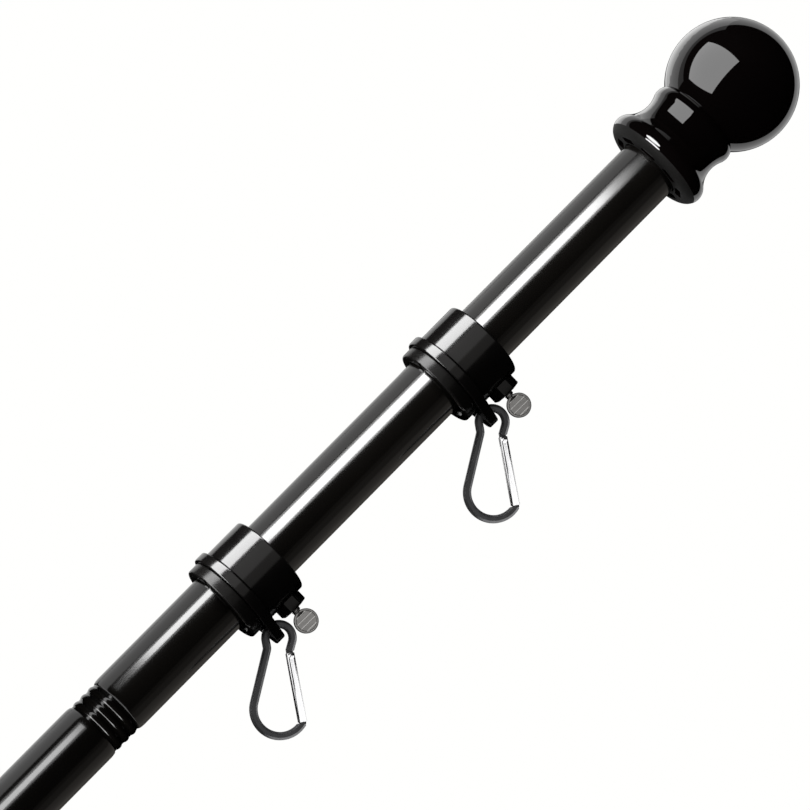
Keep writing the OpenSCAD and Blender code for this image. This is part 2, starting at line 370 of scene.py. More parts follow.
# %% Choosing what to work on
def only(obj):
    """Selects this object alone and makes it the active one."""
    bpy.ops.object.select_all(action="DESELECT")
    obj.select_set(True)
    bpy.context.view_layer.objects.active = obj


def edit(obj):
    only(obj)
    bpy.ops.object.mode_set(mode="EDIT")


def leave():
    bpy.ops.object.mode_set(mode="OBJECT")


def pick(obj, kind, test):
    """Selects only the vertices, edges or faces that pass the test, in edit mode."""
    bpy.ops.mesh.select_mode(type={"verts": "VERT", "edges": "EDGE", "faces": "FACE"}[kind])
    bpy.ops.mesh.select_all(action="DESELECT")
    mesh = bmesh.from_edit_mesh(obj.data)
    chosen = [part for part in getattr(mesh, kind) if test(part)]
    for part in chosen:
        part.select_set(True)
    mesh.select_flush_mode()
    bmesh.update_edit_mesh(obj.data)
    return len(chosen)


def reach(edge, axis):
    """How far an edge goes along an axis: 0 for X, 1 for Y and 2 for Z."""
    return abs(edge.verts[0].co[axis] - edge.verts[1].co[axis])


# %% Bevelling and extruding what is chosen
def bevel(width, segments):
    bpy.ops.mesh.bevel(offset=width * MM, segments=segments)


def extrude(step):
    bpy.ops.mesh.extrude_region_move(TRANSFORM_OT_translate={"value": step})


# %% Blocks, lines, arcs and turned solids
def begin_block(x, y, z):
    """A block of three sizes in millimetres about the origin, left open in edit mode."""
    bpy.ops.mesh.primitive_cube_add(size=1)
    block = bpy.context.object
    edit(block)
    bpy.ops.transform.resize(value=(x * MM, y * MM, z * MM))
    return block


def draw(name, points):
    """A line of edges through points in millimetres, made by extruding one corner."""
    bpy.ops.object.select_all(action="DESELECT")
    bpy.ops.mesh.primitive_plane_add(size=MM)
    obj = bpy.context.object
    obj.name = obj.data.name = name
    bpy.ops.object.mode_set(mode="EDIT")
    bpy.ops.mesh.select_mode(type="VERT")
    bpy.ops.mesh.merge(type="CENTER")
    here = Vector(points[0]) * MM
    bpy.ops.transform.translate(value=here)
    for point in points[1:]:
        there = Vector(point) * MM
        extrude(there - here)
        here = there
    return obj


def close():
    """Merges what coincides and points every face outwards."""
    bpy.ops.mesh.select_all(action="SELECT")
    bpy.ops.mesh.remove_doubles(threshold=0.002 * MM)
    bpy.ops.mesh.normals_make_consistent(inside=False)


def arc(centre_x, centre_z, radius, start, end, steps):
    """Corners (x, 0, z) along an arc, with its angles in degrees."""
    corners = []
    for i in range(steps + 1):
        a = math.radians(start + (end - start) * i / steps)
        corners.append((centre_x + radius * math.cos(a), 0, centre_z + radius * math.sin(a)))
    return corners


def turn(name, outline, steps=96):
    """A closed turned solid from an outline of (x, 0, z) corners about the Z axis."""
    obj = draw(name, outline)
    bpy.ops.mesh.select_all(action="SELECT")
    bpy.ops.mesh.spin(steps=steps, angle=math.tau, center=(0, 0, 0), axis=(0, 0, 1))
    close()
    leave()
    return obj


# %% Smoothing, cutting and fusing
def smooth(obj, degrees=32):
    only(obj)
    bpy.ops.object.shade_smooth_by_angle(angle=math.radians(degrees))


def apply(obj, kind, **settings):
    """Adds a modifier with its settings and applies it."""
    only(obj)
    modifier = obj.modifiers.new(kind.lower(), kind)
    for key, value in settings.items():
        setattr(modifier, key, value)
    bpy.ops.object.modifier_apply(modifier=modifier.name)


def combine(obj, other, operation):
    """Cuts the other piece out of obj, or fuses it on, and throws the other away."""
    apply(obj, "BOOLEAN", object=other, operation=operation, solver="EXACT")
    bpy.data.objects.remove(other)


def move(obj, matrix):
    obj.data.transform(matrix)
    obj.data.update()


# %% Putting a piece in its place
# The pieces are kept in groups, because each light is given the groups that it lights
GROUPS = ("tubes", "couplers", "rings", "ball", "foot", "lip", "wire", "screws", "gates")
LINKED = {name: [] for name in GROUPS}


def install(model, name, matrix, body, node, finish, group):
    """A copy of the model with its own mesh, put in its place and on its body."""
    obj = bpy.data.objects.new(name, model.data.copy())
    obj.data.name = name
    bpy.context.scene.collection.objects.link(obj)
    obj.data.transform(matrix)
    for one in finish if isinstance(finish, list) else [finish]:
        obj.data.materials.append(one.material)
    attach(obj, body)
    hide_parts(node)
    LINKED[group].append(obj)
    return obj


def compare(name, node):
    """Prints how far a piece's box is from its node's box, in millimetres."""
    corners = [v.co for v in bpy.data.objects[name].data.vertices]
    low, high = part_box(node)
    off = [
        round(1000 * (pick_one(c[i] for c in corners) - limit[i]), 2)
        for pick_one, limit in ((min, low), (max, high)) for i in range(3)
    ]
    print(name, len(corners), "corners, off its node by", off)


def on_both_rings(model, family, name, body, places, slot, finish, group, inner=Matrix()):
    """A copy of the model on each ring's own body. The model itself is thrown away."""
    for ring in RINGS:
        node = ring + "_" + name
        matrix = places[ring] @ inner
        install(model, family + "_" + node, matrix, ring + "_" + body, node, finish, group)
    bpy.data.objects.remove(model)
    compare(family + "_upper_" + name, "upper_" + name)


# %% [markdown]
# ## Tube sections
# Each section is a thin steel tube whose ends are rolled in, so that no sharp rim shows at a joint. A
# cylinder with bevelled rims would do, but the rolled end is longer than it is deep, so the outline is
# drawn with a part of an ellipse and turned. One section is made and copied five times.


# %% The tube
def rolled_end(base, direction, length=3.2, depth=0.6, steps=9):
    """Corners of an elliptical shoulder, from the end of the tube to its full radius."""
    corners = []
    for i in range(steps + 1):
        a = math.radians(90 * i / steps)
        x = TUBE_R - depth + depth * math.sin(a)
        corners.append((x, 0, base + direction * length * (1 - math.cos(a))))
    return corners


lower_end = rolled_end(0, 1)
upper_end = rolled_end(SECTION, -1)
outline = [(BORE_R, 0, 0)] + lower_end + upper_end[::-1] + [(BORE_R, 0, SECTION), (BORE_R, 0, 0)]
tube = turn("tube", outline, 128)
smooth(tube)
pitch = SECTION + COUPLER
for i in range(1, SECTIONS + 1):
    base = PLUG_FLANGE + (i - 1) * pitch
    node = f"tube_{i}"
    place = along_pole(base)
    made = install(tube, "pole_" + node, place, "pole", node, enamel, "tubes")
    LINKED[node] = [made]
bpy.data.objects.remove(tube)
compare("pole_tube_5", "tube_5")

# %% [markdown]
# ## Couplers
# A coupler screws two sections together. What shows is three round beads with narrow grooves between
# them. The beads are shallow arcs in the outline, and the plain spigots that reach into the tubes are
# part of the same turned piece.

# %% The coupler
BEADS, BEAD_PITCH, BEAD_R, BEAD_SPREAD = 3, 4.0, 2.3, 38
bead_x = TUBE_R - 0.3 - BEAD_R
spigot_x = BORE_R - 0.05
SPIGOT, SPIGOT_EASE, HOLLOW_R = 18, 0.4, 8
ends = (-SPIGOT, COUPLER + SPIGOT)
outline = [(HOLLOW_R, 0, ends[0]), (spigot_x - SPIGOT_EASE, 0, ends[0])]
outline += [(spigot_x, 0, ends[0] + SPIGOT_EASE)]
for k in range(BEADS):
    middle = COUPLER / 2 + (k - 1) * BEAD_PITCH
    outline += arc(bead_x, middle, BEAD_R, -BEAD_SPREAD, BEAD_SPREAD, 12)
outline += [(spigot_x, 0, ends[1] - SPIGOT_EASE), (spigot_x - SPIGOT_EASE, 0, ends[1])]
outline += [(HOLLOW_R, 0, ends[1]), (HOLLOW_R, 0, ends[0])]
coupler = turn("coupler", outline, 128)
smooth(coupler, 40)
for i in range(1, SECTIONS):
    base = PLUG_FLANGE + i * SECTION + (i - 1) * COUPLER
    node = f"coupler_{i}"
    place = along_pole(base)
    install(coupler, "pole_" + node, place, "pole", node, enamel, "couplers")
bpy.data.objects.remove(coupler)
compare("pole_coupler_4", "coupler_4")

# %% [markdown]
# ## Foot plug
# A moulded plug closes the lower end of the pole and stands in the bracket. It is turned with a
# rounded rim and a shallow dish in its face, as a moulded plug has where it was gated.

# %% The foot plug
DISH, DISH_R, DISH_RIM, PLUG_RIM, PLUG_REACH, PLUG_EASE = 0.35, 6.2, 0.4, 0.9, 20, 0.6
outline = [(0, 0, DISH), (DISH_R, 0, DISH)]
outline += arc(DISH_R + 2 * DISH_RIM, DISH_RIM, DISH_RIM, 250, 270, 3)
outline += arc(TUBE_R - PLUG_RIM, PLUG_RIM, PLUG_RIM, -90, 0, 6)
outline += [(TUBE_R, 0, PLUG_FLANGE - 0.2), (TUBE_R - 0.2, 0, PLUG_FLANGE)]
outline += [(spigot_x, 0, PLUG_FLANGE), (spigot_x, 0, PLUG_REACH - PLUG_EASE)]
outline += [(spigot_x - PLUG_EASE, 0, PLUG_REACH), (HOLLOW_R, 0, PLUG_REACH)]
outline += [(HOLLOW_R, 0, PLUG_FLANGE), (0, 0, PLUG_FLANGE)]
plug = turn("plug", outline, 96)
smooth(plug)
install(
    plug, "pole_foot_plug", along_pole(0), "pole", "foot_plug", moulded, "tubes"
)
bpy.data.objects.remove(plug)
compare("pole_foot_plug", "foot_plug")

# %% [markdown]
# ## Finial
# The finial is a ball on a turned foot: a small bulge, a waist and a flare that run into each other,
# and a lip with ribs under it. The outline is made of true arcs, because a polished black surface
# shows every flat in its reflections. The crease under the ball is where the two mouldings meet.


# %% The finial's outline
def touching(p, p_r, q, q_r, r):
    """Centre of a circle of radius r that touches two circles from outside, on the waist's side."""
    gap = q - p
    d = gap.length
    a = ((p_r + r) ** 2 - (q_r + r) ** 2 + d * d) / (2 * d)
    h = math.sqrt((p_r + r) ** 2 - a * a)
    along = gap / d
    return p + along * a + Vector((along.y, -along.x)) * h


def bearing(v):
    return math.degrees(math.atan2(v.y, v.x))


BALL_R, BULGE_R, WAIST_R, FLARE_R = 26.85, 5.3, 12.7, 5.2
LIP_R, LIP_W, LIP_BELOW_BULGE = 22.6, 4.2, 24.7
bulge_reach, bulge_angle = BALL_R + 0.19, math.radians(-59.1)
bulge = Vector((math.cos(bulge_angle), math.sin(bulge_angle))) * bulge_reach
DROP = LIP_BELOW_BULGE - bulge.y
flare_end = -math.degrees(math.acos(1 - LIP_W / FLARE_R))
flare = Vector((LIP_R - FLARE_R, -DROP - FLARE_R * math.sin(math.radians(flare_end))))
waist = touching(flare, FLARE_R, bulge, BULGE_R, WAIST_R)
crease_turn = math.acos((BALL_R**2 + bulge_reach**2 - BULGE_R**2) / (2 * BALL_R * bulge_reach))
crease_angle = bulge_angle + crease_turn
crease = Vector((math.cos(crease_angle), math.sin(crease_angle))) * BALL_R
print("waist", [round(v, 2) for v in waist], "crease", [round(v, 2) for v in crease])

# %% The ball
crease_x, seat_z = crease.x - 0.25, crease.y - 0.02
outline = arc(0, 0, BALL_R, 90, math.degrees(crease_angle), 72)
outline += [(crease_x, 0, seat_z), (0, 0, seat_z)]
ball = turn("ball", outline, 160)
smooth(ball)
install(ball, "finial_ball", along_pole(BALL_Z), "pole", "finial", polish, "ball")
bpy.data.objects.remove(ball)
compare("finial_ball", "finial")

# %% The foot, down to where the flare begins
WAIST_STEPS, SEAM_STEP = 24, 16
split = arc(*waist, WAIST_R, bearing(bulge - waist), bearing(flare - waist) + 360, WAIST_STEPS)
upper_half, lower_half = split[:SEAM_STEP + 1], split[SEAM_STEP:]
seam_x, _, seam_z = upper_half[-1]
core_end = -15 - DROP
outline = [(0, 0, seat_z), (crease_x, 0, seat_z)]
outline += arc(*bulge, BULGE_R, bearing(crease - bulge) - 3, bearing(waist - bulge), 18)
outline += upper_half[1:] + [(spigot_x, 0, seam_z), (spigot_x, 0, core_end), (0, 0, core_end)]
foot = turn("foot", outline, 160)
smooth(foot)
print("foot", len(foot.data.polygons), "faces, its seam at", round(seam_z, 2))
install(foot, "finial_foot", along_pole(BALL_Z), "pole", "finial", polish, "foot")
bpy.data.objects.remove(foot)

# %% The flare and its lip
around_core, hole_end = spigot_x + 0.02, LIP_OVERLAP - DROP
outline = [(around_core, 0, seam_z), (seam_x, 0, seam_z)] + lower_half[1:]
outline += arc(*flare, FLARE_R, bearing(waist - flare), flare_end - 8, 36)[1:]
under = outline[-1][2] + 0.1
TUBE_HOLE = TUBE_R + 0.25
outline += [(TUBE_HOLE + 3.9, 0, under), (TUBE_HOLE + 0.3, 0, under), (TUBE_HOLE, 0, under + 0.3)]
outline += [(TUBE_HOLE, 0, hole_end), (around_core, 0, hole_end), (around_core, 0, seam_z)]
lip = turn("lip", outline, 160)
print("lip", len(lip.data.polygons), "faces, its underside at", round(under, 2))

# %% [markdown]
# The lip's underside is hollow between short ribs, as mouldings are so that they cool evenly. Eight
# pockets are cut with one bevelled block that is turned step by step about the axis.

# %% Pockets between the ribs
POCKETS, POCKET_X, POCKET_DEEP = 8, 15.35, 1.1
for i in range(POCKETS):
    block = begin_block(3.0, 7.2, 2.6)
    pick(block, "edges", lambda e: reach(e, 2) > MM)
    bevel(0.7, 4)
    leave()
    centre = shift(POCKET_X, 0, under + POCKET_DEEP)
    move(block, Matrix.Rotation(math.tau * (i + 0.5) / POCKETS, 4, "Z") @ centre)
    combine(lip, block, "DIFFERENCE")
smooth(lip, 30)
# Faces that look down under the lip take the duller black, which paints shade there
for face in lip.data.polygons:
    below = face.normal.z < -0.5 and face.center.z < (under + 4) * MM
    face.material_index = 1 if below else 0
glosses = [polish, under_lip_shade]
install(lip, "finial_lip", along_pole(BALL_Z), "pole", "finial", glosses, "lip")
print("finial_lip", len(lip.data.polygons), "faces")
bpy.data.objects.remove(lip)

# %% [markdown]
# ## Flag ring: collar and boss
# The collar slides on the pole. It is a moulded nylon ring with a waisted neck at its lower end, which
# the swivel band turns on, and an eight-sided boss for the thumb screw. The ring is turned, the boss
# grows out of an eight-sided cylinder by inset and bevel, and the two are fused.

# %% The collar
BORE, COLLAR_R, RING_H, BODY_Z, NECK_Z = 13.77, 17.6, 28.0, 9.9, 1.4
NECK_R = BORE + 1.18
SCREW_Z, BOSS_TOP, BOSS_FLAT, SCREW_R = 19.8, 21.6, 5.8, 1.95
HALF_SIDE = math.radians(22.5)   # of an eight-sided bar, seen from its middle
outline = [(BORE, 0, NECK_Z), (NECK_R, 0, NECK_Z), (NECK_R, 0, BODY_Z)]
outline += arc(COLLAR_R - 0.5, BODY_Z + 0.5, 0.5, -90, 0, 4)
outline += arc(COLLAR_R - 0.9, RING_H - 0.9, 0.9, 0, 90, 7)
outline += arc(BORE + 0.6, RING_H - 0.6, 0.6, 90, 180, 4) + [(BORE, 0, NECK_Z)]
collar = turn("collar", outline, 128)
print("collar", len(collar.data.polygons), "faces before its boss")


# %% The boss and its threaded hole
def on_its_side(out):
    """Lays an upright piece along the screw's axis, this far from the ring's middle."""
    return shift(out, 0, SCREW_Z) @ Matrix.Rotation(math.pi / 2, 4, "Y")


bpy.ops.object.select_all(action="DESELECT")
root_x = BORE + 1.2
boss_h = BOSS_TOP - root_x
bpy.ops.mesh.primitive_cylinder_add(
    vertices=8, radius=BOSS_FLAT / math.cos(HALF_SIDE) * MM, depth=boss_h * MM
)
boss = bpy.context.object
edit(boss)
pick(boss, "faces", lambda f: f.normal.z > 0.9)
bpy.ops.mesh.inset(thickness=1.4 * MM, depth=0)
pick(boss, "edges", lambda e: all(v.co.z > 0 and v.co.xy.length > 5.5 * MM for v in e.verts))
bevel(0.8, 5)
pick(boss, "edges", lambda e: reach(e, 2) > 2 * MM)
bevel(0.5, 3)
leave()
move(boss, on_its_side(root_x + boss_h / 2) @ Matrix.Rotation(HALF_SIDE, 4, "Z"))
combine(collar, boss, "UNION")

bpy.ops.mesh.primitive_cylinder_add(vertices=32, radius=(SCREW_R + 0.05) * MM, depth=16 * MM)
drill = bpy.context.object
move(drill, on_its_side(COLLAR_R + 0.4))
combine(collar, drill, "DIFFERENCE")
smooth(collar, 28)
on_both_rings(collar, "ring", "collar", "ring", on_ring, "black_plastic", moulded, "rings")

# %% [markdown]
# ## Flag ring: retainer
# The retainer is the cap that keeps the swivel band on its neck. It has a rounded rim and four shallow
# slots across its face, which a fitting tool turns it by.

# %% The retainer
RETAINER_R, RETAINER_H = COLLAR_R + 0.2, 5.0
outline = [(BORE, 0, 1.0), (BORE + 0.5, 0, 0.3), (BORE + 1.0, 0, 0)]
outline += arc(RETAINER_R - 0.8, 0.8, 0.8, -90, 0, 6)
outline += arc(RETAINER_R - 0.3, RETAINER_H - 0.3, 0.3, 0, 90, 3)
outline += [(NECK_R + 0.05, 0, RETAINER_H), (NECK_R + 0.05, 0, NECK_Z)]
outline += [(BORE, 0, NECK_Z), (BORE, 0, 1.0)]
retainer = turn("retainer", outline, 128)
SLOTS = 4
for i in range(SLOTS):
    slot_block = begin_block(12, 1.6, 1.0)
    pick(slot_block, "edges", lambda e: all(v.co.z > 0 for v in e.verts) and reach(e, 0) > MM)
    bevel(0.25, 3)
    leave()
    move(slot_block, Matrix.Rotation(math.tau * (i + 0.5) / SLOTS, 4, "Z") @ shift(18, 0, 0))
    combine(retainer, slot_block, "DIFFERENCE")
smooth(retainer, 28)
on_both_rings(retainer, "ring", "retainer", "ring", on_ring, "black_plastic", satin, "rings")

# %% [markdown]
# ## Flag ring: swivel band
# The band turns freely between the retainer and the collar and carries the clip in its ear. Its
# outline is one line: round the ring, and out along two tangents to the ear's round tip. It is filled,
# extruded to its thickness, bevelled along both rims, and then bored for the neck and the clip.

# %% The swivel band
BAND_R, BAND_Z, BAND_T = 19.3, 5.25, 4.4
PIVOT_X, HOOK_R, WIRE_R = 25.4, 5.4, 1.75
EAR_HOLE_R = WIRE_R + 1
EAR_R = EAR_HOLE_R + 1.85
ear_x = PIVOT_X + 1.2 - EAR_R
tangent = math.degrees(math.acos((BAND_R - EAR_R) / ear_x))
rounds = [(0, BAND_R, tangent, 360 - tangent, 72), (ear_x, EAR_R, -tangent, tangent, 22)]
corners = []
for x, r, start, end, steps in rounds:
    corners += [(px, pz, BAND_Z) for px, _, pz in arc(x, 0, r, start, end, steps)]
band = draw("band", corners + corners[:1])
close()
bpy.ops.mesh.edge_face_add()
extrude((0, 0, BAND_T * MM))
close()
pick(band, "edges", lambda e: reach(e, 2) < 0.1 * MM)
bevel(0.55, 4)
leave()
for x, r, steps in ((0, NECK_R + 0.08, 128), (PIVOT_X - HOOK_R + 0.3, EAR_HOLE_R, 48)):
    bpy.ops.mesh.primitive_cylinder_add(
        vertices=steps, radius=r * MM, depth=12 * MM, location=(x * MM, 0, BAND_Z * MM)
    )
    bore = bpy.context.object
    bpy.ops.object.transform_apply(location=True)
    combine(band, bore, "DIFFERENCE")
smooth(band, 28)
on_both_rings(band, "ring", "swivel_band", "band", on_ring, "black_plastic", moulded, "rings")

# %% [markdown]
# ## Thumb screw
# The screw has a flat round head to turn between finger and thumb, a waisted neck and a threaded
# shank. The thread is a zigzag wound up by a Screw modifier, which gives a true spiral. The head is a
# coin with a rolled rim and a few raised ribs across each face.

# %% The shank with its thread
SHANK_TIP, HEAD_X, HEAD_R, HEAD_T = 11.7, 28.3, 4.95, 1.8
THREAD_PITCH, THREAD_DEPTH = 0.7, 0.42
THREAD_END = 22.6
turns = round((THREAD_END - SHANK_TIP) / THREAD_PITCH)
core = SCREW_R - THREAD_DEPTH
zigzag = [(core, 0, 0), (core + 0.05, 0, 0.08), (SCREW_R, 0, 0.31)]
zigzag += [(SCREW_R, 0, 0.39), (core + 0.05, 0, 0.62), (core, 0, THREAD_PITCH)]
shank = draw("shank", zigzag)
leave()
apply(
    shank, "SCREW", angle=math.tau, screw_offset=THREAD_PITCH * MM, iterations=turns, steps=32,
    render_steps=32, axis="Z", use_merge_vertices=True, merge_threshold=0.002 * MM,
)
edit(shank)
bpy.ops.mesh.select_all(action="SELECT")
bpy.ops.mesh.remove_doubles(threshold=0.002 * MM)
bpy.ops.mesh.fill_holes(sides=0)
bpy.ops.mesh.normals_make_consistent(inside=False)
mesh = bmesh.from_edit_mesh(shank.data)
print("open edges on the thread", sum(e.is_boundary for e in mesh.edges))
leave()
lay_screw = on_its_side(SHANK_TIP)
move(shank, lay_screw)

# %% The neck
neck_start, neck_end = BOSS_TOP + 0.75 - SHANK_TIP, HEAD_X - HEAD_R + 1.6 - SHANK_TIP
shoulder_x, shoulder_z = SCREW_R - 0.05, neck_start + 0.3
outline = [(0, 0, neck_start), (SCREW_R - 0.25, 0, neck_start)]
outline += [(shoulder_x, 0, neck_start + 0.12), (shoulder_x, 0, shoulder_z)]
waist_x, WAIST_SPAN, STEPS = SCREW_R - 0.6, 0.62, 8
for i in range(1, STEPS + 1):
    a = math.radians(90 * i / STEPS)
    z = shoulder_z + (neck_end - neck_start - 0.3) * i / STEPS * WAIST_SPAN
    outline.append((waist_x - 0.35 + 0.9 * (1 - math.sin(a)), 0, z))
outline += [(waist_x + 0.15, 0, neck_end - 0.35), (waist_x + 0.55, 0, neck_end), (0, 0, neck_end)]
neck = turn("neck", outline, 40)
move(neck, lay_screw)
print("neck", len(neck.data.polygons), "faces")

# %% The head with its ribs
ROLL = 0.35
dish_x, dish_z = HEAD_R - 1.05, HEAD_T / 2 - 0.22
rim_x, rim_z = HEAD_R - 0.8, HEAD_T / 2 - 0.02
roll_x, roll_z = HEAD_R - ROLL, HEAD_T / 2 - ROLL
outline = [(0, 0, -dish_z), (dish_x, 0, -dish_z), (rim_x, 0, -rim_z)]
outline += arc(roll_x, -roll_z, ROLL, -90, 0, 4) + arc(roll_x, roll_z, ROLL, 0, 90, 4)
outline += [(rim_x, 0, rim_z), (dish_x, 0, dish_z), (0, 0, dish_z)]
head = turn("head", outline, 72)
RIBS, RIB_STEP, RIB_W = 4, 2.1, 0.4
for i in range(RIBS):
    across = (i - (RIBS - 1) / 2) * RIB_STEP
    half = math.sqrt((HEAD_R - 0.95) ** 2 - across**2)
    rib = begin_block(2 * half, RIB_W, HEAD_T - 0.16)
    pick(rib, "edges", lambda e: reach(e, 0) > MM)
    bevel(0.06, 2)
    leave()
    move(rib, shift(0, across, 0))
    combine(head, rib, "UNION")
stand = shift(HEAD_X, 0, SCREW_Z) @ Matrix.Rotation(math.pi / 2, 4, "X")
move(head, stand @ Matrix.Rotation(math.radians(89), 4, "Z"))
combine(head, neck, "UNION")
combine(head, shank, "UNION")
smooth(head, 30)
print("screw", len(head.data.polygons), "faces")

# %% Painted highlight on the rib tops, and the screws in place
unstand = stand.inverted()
# The flat tops of the ribs take the lighter zinc, a painted highlight
for face in head.data.polygons:
    spot = unstand @ face.center
    on_rib = abs(abs(spot.z) - (HEAD_T / 2 - 0.08) * MM) < 0.02 * MM and face.area < 4 * MM * MM
    face.material_index = 1 if on_rib and spot.xy.length < (HEAD_R - 0.9) * MM else 0
zincs = [zinc, worn_zinc]
on_both_rings(head, "ring", "thumb_screw", "screw", on_ring, "zinc_steel", zincs, "screws")

# %% [markdown]
# ## Snap clip: the bent wire
# The clip is one length of eight-sided wire, bent into a small hook, a kink, a long spine and a wide
# bow. It is made the way it is bent: an eight-cornered disc is extruded along each straight run and
# spun about the centre of each bend. Its long edges are softened by a bevel.

# %% The clip's corners, in its own plane
NOSE_ANGLE, SPINE_START, NECK, KINK_R, SPINE_LEAN = -16, 190, 2.6, 3.0, 14.4
BOW_R, REACH, LATCH_ANGLE, NOSE = 10.5, 27.8, -31, 4.0


def polar(r, degrees):
    return Vector((math.cos(math.radians(degrees)), math.sin(math.radians(degrees)))) * r


nose_top = polar(HOOK_R, NOSE_ANGLE)
nose_end = nose_top + polar(NOSE, NOSE_ANGLE - 90)
neck_top = polar(HOOK_R, SPINE_START)
kink_start = neck_top + polar(NECK, SPINE_START + 90)
kink = kink_start - polar(KINK_R, SPINE_START - 180)
spine_top = kink + polar(KINK_R, -SPINE_LEAN)
lean_angle = math.radians(SPINE_LEAN)
SPINE = (REACH + spine_top.y - BOW_R * math.sin(lean_angle)) / math.cos(lean_angle)
spine_end = spine_top + polar(SPINE, -90 - SPINE_LEAN)
bow = spine_end + polar(BOW_R, -SPINE_LEAN)
latch = bow + polar(BOW_R, LATCH_ANGLE)
gate_run = latch - nose_end
GATE = gate_run.length
gate_angle = math.degrees(math.atan2(gate_run.y, gate_run.x)) + 90
at_nose = shift(nose_end.x, 0, nose_end.y)
in_gate = at_nose @ Matrix.Rotation(math.radians(-gate_angle), 4, "Y")
print("gate", round(GATE, 1), "mm long, leaning", round(gate_angle, 1), "degrees")


# %% Bending the wire
def run_on(direction, length):
    step = polar(length * MM, direction)
    extrude((step.x, 0, step.y))


def bend(centre, degrees, steps):
    """Sweeps the end of the wire about a centre, anticlockwise for a positive angle."""
    bpy.ops.mesh.spin(
        steps=steps, angle=math.radians(abs(degrees)), center=(centre.x * MM, 0, centre.y * MM),
        axis=(0, 1 if degrees > 0 else -1, 0),
    )


bpy.ops.object.select_all(action="DESELECT")
bpy.ops.mesh.primitive_circle_add(vertices=8, radius=WIRE_R * MM, fill_type="NGON")
wire = bpy.context.object
edit(wire)
bpy.ops.mesh.select_all(action="SELECT")
bpy.ops.transform.rotate(value=HALF_SIDE, orient_axis="Z", center_override=(0, 0, 0))
leave()
move(wire, at_nose @ Matrix.Rotation(math.radians(-NOSE_ANGLE), 4, "Y"))
edit(wire)
bpy.ops.mesh.select_all(action="SELECT")
run_on(NOSE_ANGLE + 90, NOSE)
bend(Vector((0, 0)), SPINE_START - NOSE_ANGLE, 48)
run_on(SPINE_START + 90, NECK)
bend(kink, -(SPINE_START - 180 + SPINE_LEAN), 10)
run_on(-90 - SPINE_LEAN, SPINE)
bend(bow, 360 + LATCH_ANGLE - (180 - SPINE_LEAN), 44)
close()
leave()
low = min(v.co.z for v in wire.data.vertices) * 1000
print("wire", len(wire.data.vertices), "corners, lowest", round(low, 2))

# %% [markdown]
# Both ends of the wire are cut square to the gate by bisecting. A flat tongue stands on each end and
# enters a slot in the gate: the upper one takes the rivet, the lower one stops the gate.

# %% Square ends, tongues and soft edges
GATE_W, GATE_T, SLOT_T, TONGUE_T, RIVET_DROP, RIVET_R = 3.2, 3.4, 1.3, 1.2, 2.0, 0.65
gate_down = in_gate.to_3x3() @ Vector((0, 0, -1))
edit(wire)
for height, out, near in ((0, gate_down, nose_end), (-GATE, -gate_down, latch)):
    cut = in_gate @ Vector((0, 0, height * MM))
    middle = Vector((near.x * MM, 0, near.y * MM))
    pick(wire, "faces", lambda f: (f.calc_center_median() - middle).length < 6 * MM
         and abs(f.calc_center_median().x - middle.x) < 5 * MM)
    bpy.ops.mesh.select_more()
    bpy.ops.mesh.bisect(plane_co=cut, plane_no=out, clear_outer=True, use_fill=True)
close()
mesh = bmesh.from_edit_mesh(wire.data)
print("open edges on the wire", sum(e.is_boundary for e in mesh.edges))
leave()
apply(
    wire, "BEVEL", width=0.22 * MM, segments=2, limit_method="ANGLE",
    angle_limit=math.radians(28), harden_normals=False,
)
for top, length in ((0.8, 4.4), (-GATE + 2.4, 3.2)):
    tongue = begin_block(GATE_W - 0.6, TONGUE_T, length)
    pick(tongue, "edges", lambda e: reach(e, 1) > 0.5 * MM)
    bevel(0.5, 4)
    leave()
    move(tongue, in_gate @ shift(0, 0, top - length / 2))
    combine(wire, tongue, "UNION")
bpy.ops.mesh.primitive_cylinder_add(vertices=24, radius=(RIVET_R + 0.02) * MM, depth=3 * MM)
pin_hole = bpy.context.object
across = Matrix.Rotation(math.pi / 2, 4, "X")
at_rivet = shift(0, 0, -RIVET_DROP) @ across
move(pin_hole, in_gate @ at_rivet)
combine(wire, pin_hole, "DIFFERENCE")
smooth(wire, 26)
on_both_rings(wire, "clip", "clip_hook", "clip", on_clip, "grey_anodised", wire_grey, "wire")

# %% [markdown]
# ## Snap clip: gate and rivet
# The gate is a bright drawn bar with bevelled corners and a fine groove down each side. Its outline is
# drawn once and extruded to length, its ends are eased by a bevel, and slots are cut for the tongues.
# A gap is left at the hinge, so that the gate's corner turns under the nose without touching it.

# %% The gate
HINGE_GAP, LATCH_GAP, BEVEL, GROOVE = 0.6, 0.3, 0.6, 0.28
x, y = GATE_W / 2, GATE_T / 2
bottom = y - GROOVE * 0.8
corner = arc(x - BEVEL, y - BEVEL, BEVEL, 0, 90, 4)
half = [(px, pz) for px, _, pz in corner]
half += [(GROOVE, y), (GROOVE * 0.5, bottom), (-GROOVE * 0.5, bottom), (-GROOVE, y)]
half += [(-px, pz) for px, _, pz in corner[::-1]]
loop = half + [(-px, -py) for px, py in half]
gate = draw("gate", [(px, py, LATCH_GAP - GATE) for px, py in loop + loop[:1]])
close()
bpy.ops.mesh.edge_face_add()
body_length = GATE - LATCH_GAP - HINGE_GAP
extrude((0, 0, body_length * MM))
close()
pick(gate, "edges", lambda e: reach(e, 2) < 0.01 * MM)
bevel(0.16, 2)
leave()
for top, length in ((1.0, 5.2), (-GATE + 2.9, 3.9)):
    slot_cut = begin_block(2 * GATE_W, SLOT_T, length)
    pick(slot_cut, "edges", lambda e: reach(e, 0) > MM)
    bevel(0.2, 3)
    leave()
    move(slot_cut, shift(0, 0, top - length / 2))
    combine(gate, slot_cut, "DIFFERENCE")
bpy.ops.mesh.primitive_cylinder_add(vertices=24, radius=(RIVET_R + 0.05) * MM, depth=8 * MM)
pin_hole = bpy.context.object
move(pin_hole, at_rivet)
